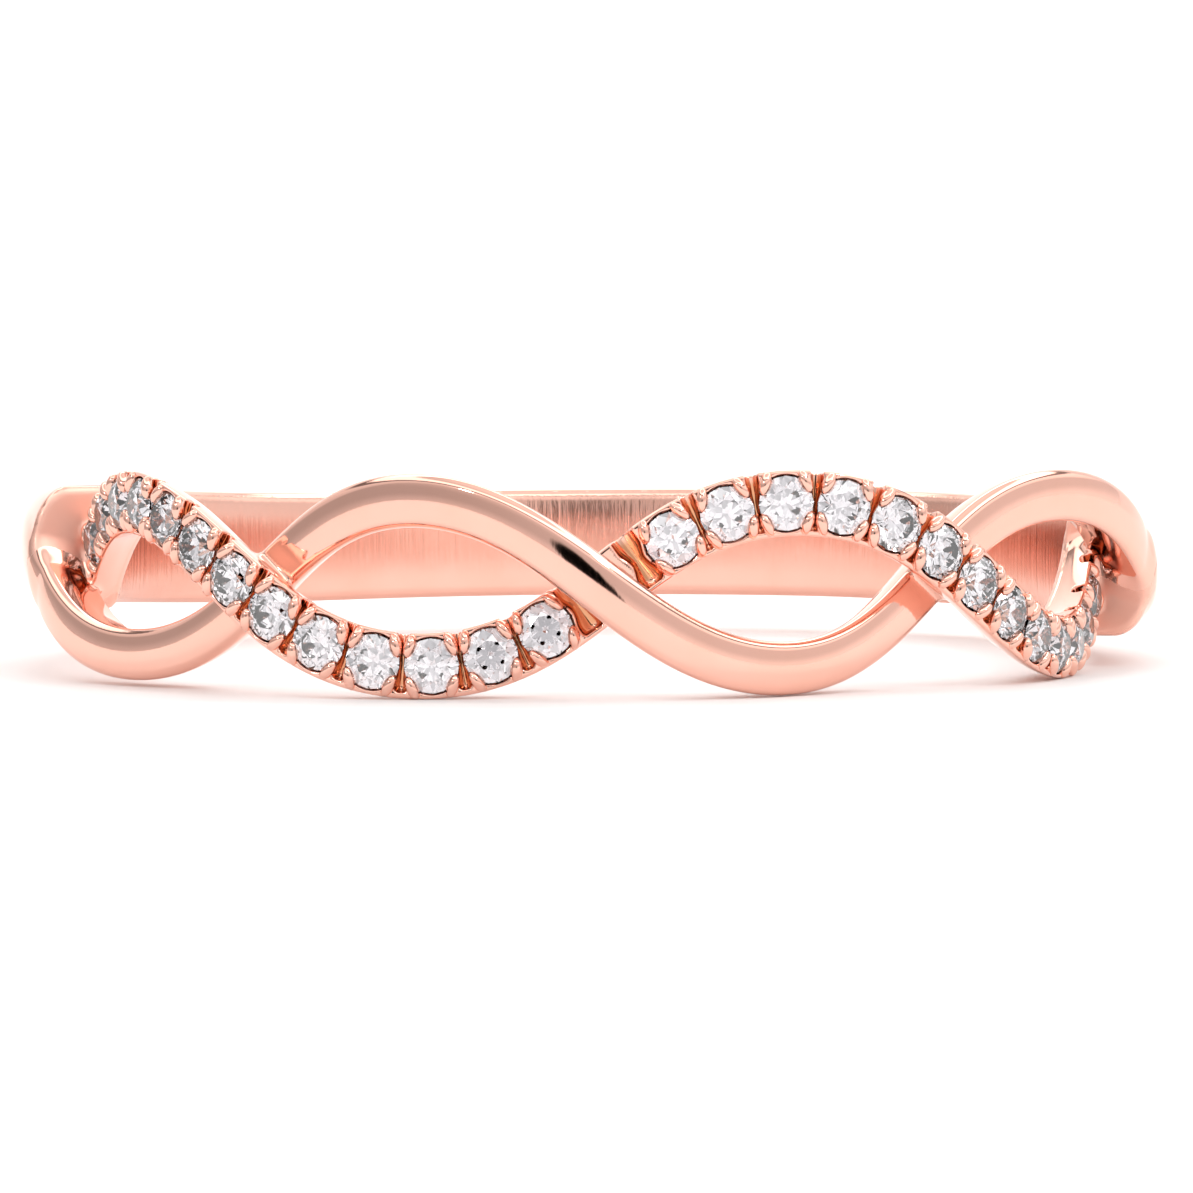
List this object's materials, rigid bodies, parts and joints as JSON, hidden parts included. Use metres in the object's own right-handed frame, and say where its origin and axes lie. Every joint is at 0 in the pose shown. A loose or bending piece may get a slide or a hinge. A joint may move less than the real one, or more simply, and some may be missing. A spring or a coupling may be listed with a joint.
{
  "type": "infinity ring",
  "caption": "Finger ring whose front is two wavy strands woven over and under each other, one plain and polished, one prong-set with small round stones, on a plain shank.",
  "frame": {"origin": "centre of the finger hole, at half the width of the woven front", "axes": "+Z along the finger's axis, -Y toward the middle of the woven front, +X to the right seen from the front"},
  "size_m": [0.0204, 0.0203, 0.0036],
  "materials": {
    "rose_gold": "polished",
    "stone": "polished"
  },
  "bodies": {
    "root": {"band": "rose_gold", "stone_01": "stone", "stone_02": "stone", "stone_03": "stone", "stone_04": "stone", "stone_05": "stone", "stone_06": "stone", "stone_07": "stone", "stone_08": "stone", "stone_09": "stone", "stone_10": "stone", "stone_11": "stone", "stone_12": "stone", "stone_13": "stone", "stone_14": "stone", "stone_15": "stone", "stone_16": "stone", "stone_17": "stone", "stone_18": "stone", "stone_19": "stone", "stone_20": "stone", "stone_21": "stone", "stone_22": "stone", "stone_23": "stone", "stone_24": "stone", "stone_25": "stone", "stone_26": "stone"}
  },
  "joints": []
}
